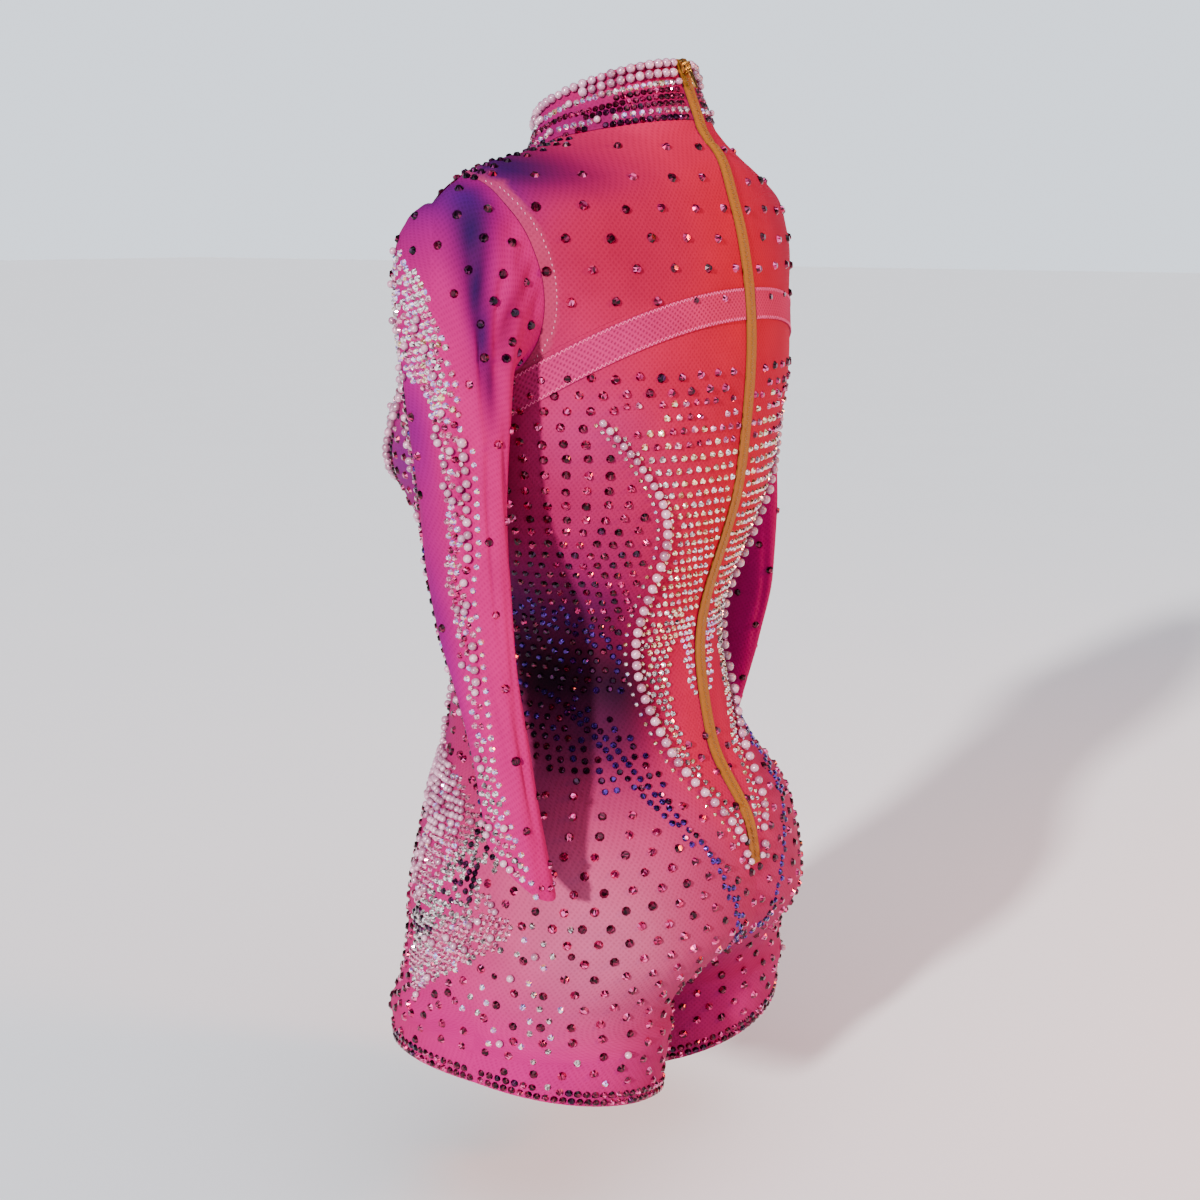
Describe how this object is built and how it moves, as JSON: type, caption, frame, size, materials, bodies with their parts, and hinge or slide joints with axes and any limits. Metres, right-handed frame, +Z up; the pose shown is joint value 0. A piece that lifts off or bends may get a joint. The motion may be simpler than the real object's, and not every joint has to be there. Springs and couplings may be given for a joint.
{
  "type": "stage bodysuit",
  "caption": "Hollow long-sleeved bodysuit of stretch mesh with a stand collar, short legs and a back zip with a swinging pull tab.",
  "frame": {"origin": "centre of the neck base, between the shoulders, where the suit hangs from its wearer", "axes": "+Z up, -Y to the wearer's front, +X to the wearer's left"},
  "size_m": [0.4104, 0.2717, 0.744],
  "materials": {
    "pink_mesh": "fine stretch mesh with a slight sheen",
    "magenta_mesh": "fine stretch mesh with a slight sheen",
    "pale_band": "coarser stretch mesh",
    "zip_tape": "woven tape",
    "zip_metal": "polished"
  },
  "bodies": {
    "suit": {"front": "pink_mesh", "back_left": "pink_mesh", "back_right": "pink_mesh", "sleeve_left": "magenta_mesh", "sleeve_right": "magenta_mesh", "collar": "pink_mesh", "back_band_left": "pale_band", "back_band_right": "pale_band", "zip_tape_left": "zip_tape", "zip_tape_right": "zip_tape", "zip_slider": "zip_metal"},
    "pull_tab": {"zip_pull": "zip_metal"}
  },
  "joints": [
    {"name": "pull_swing", "type": "hinge", "parent": "suit", "child": "pull_tab", "pos_m": [0, 0.05783, 0.0253], "axis": [1, 0, 0], "range_deg": [0, 150]}
  ]
}
